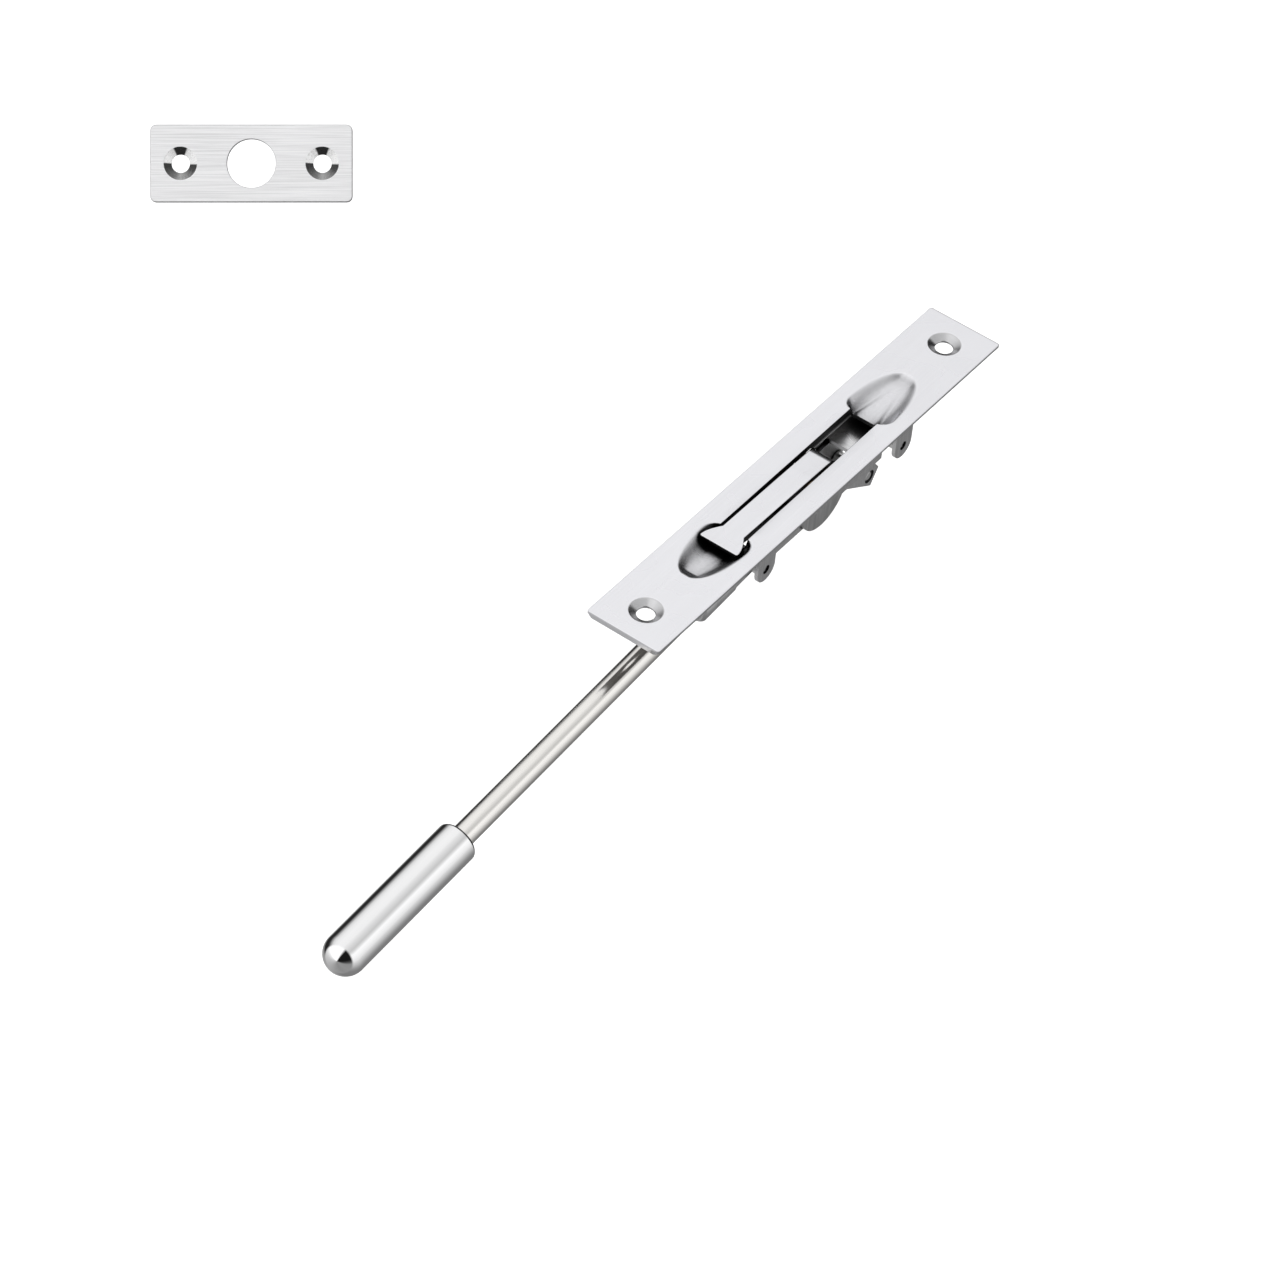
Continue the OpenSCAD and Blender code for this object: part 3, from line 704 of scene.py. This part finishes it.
def pale_material(name, glow):
    material, nodes, links, shader = new_material(name)
    shader.inputs["Base Color"].default_value = (0.9, 0.9, 0.9, 1)
    shader.inputs["Roughness"].default_value = 0.9
    shader.inputs["Emission Color"].default_value = (1, 1, 1, 1)
    shader.inputs["Emission Strength"].default_value = glow
    return material


def seen_only(piece):
    """The piece isn't mirrored in the metal, which mirrors the room instead."""
    piece.visible_glossy = False
    piece.visible_diffuse = False
    piece.visible_transmission = False
    piece.visible_shadow = False


def floor_and_backdrop():
    bm = bmesh.new()
    bmesh.ops.create_grid(bm, x_segments=8, y_segments=8, size=1500)
    floor = finished_mesh(bm, "floor")
    floor.location.z = -0.05
    paint(floor, pale_material("floor_pale", 0.55))
    floor.visible_glossy = False
    bm = bmesh.new()
    bmesh.ops.create_uvsphere(bm, u_segments=48, v_segments=24, radius=6000)
    dome = finished_mesh(bm, "backdrop")
    paint(dome, pale_material("backdrop_pale", 1.0))
    seen_only(dome)


# ---- Assembly ----

CUSTOM = {
    "faceplate": (faceplate_mesh, "root", "satin_steel"),
    "rod": (rod_mesh, "rod", "nickel_rod"),
    "bolt": (bolt_mesh, "bolt", "polished_bolt"),
    "strike_plate": (strike_mesh, "root", "brushed_strike"),
}
BEVELS = {
    "lever": 0.16, "carriage": 0.15, "yoke": 0.15, "cheek_left": 0.12, "cheek_right": 0.12,
    "rod_connector": 0.15, "rod_hinge_pin": 0.5, "spare_pin": 0.5, "yoke_rivet": 0.45,
}
OTHER_BEVEL = 0.1


def dress():
    """Finer pieces for the sheets and turned parts, and looks and bevels for the CAD's own."""
    looks = materials()
    finishes = {s["node"]: s["material_slot"] for s in frame["record"]["subparts"]}
    for node, piece in frame["nodes"].items():
        if node in CUSTOM:
            make, body, finish = CUSTOM[node]
            made = make()
            sink = "strike_sink_painted_reflection" if node == "strike_plate" else "polished_sink"
            paint(made, looks[finish], looks[sink], looks["rolled_back"], looks["painted_shade_track"],
                  looks["sheared_edge"])
            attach(made, body)
            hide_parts(node)
            continue
        paint(piece, looks[finishes[node]])
        soften(piece, BEVELS.get(node, OTHER_BEVEL))


dress()
room()
fill_light()
floor_and_backdrop()
camera()
bpy.context.scene.view_settings.view_transform = "Standard"
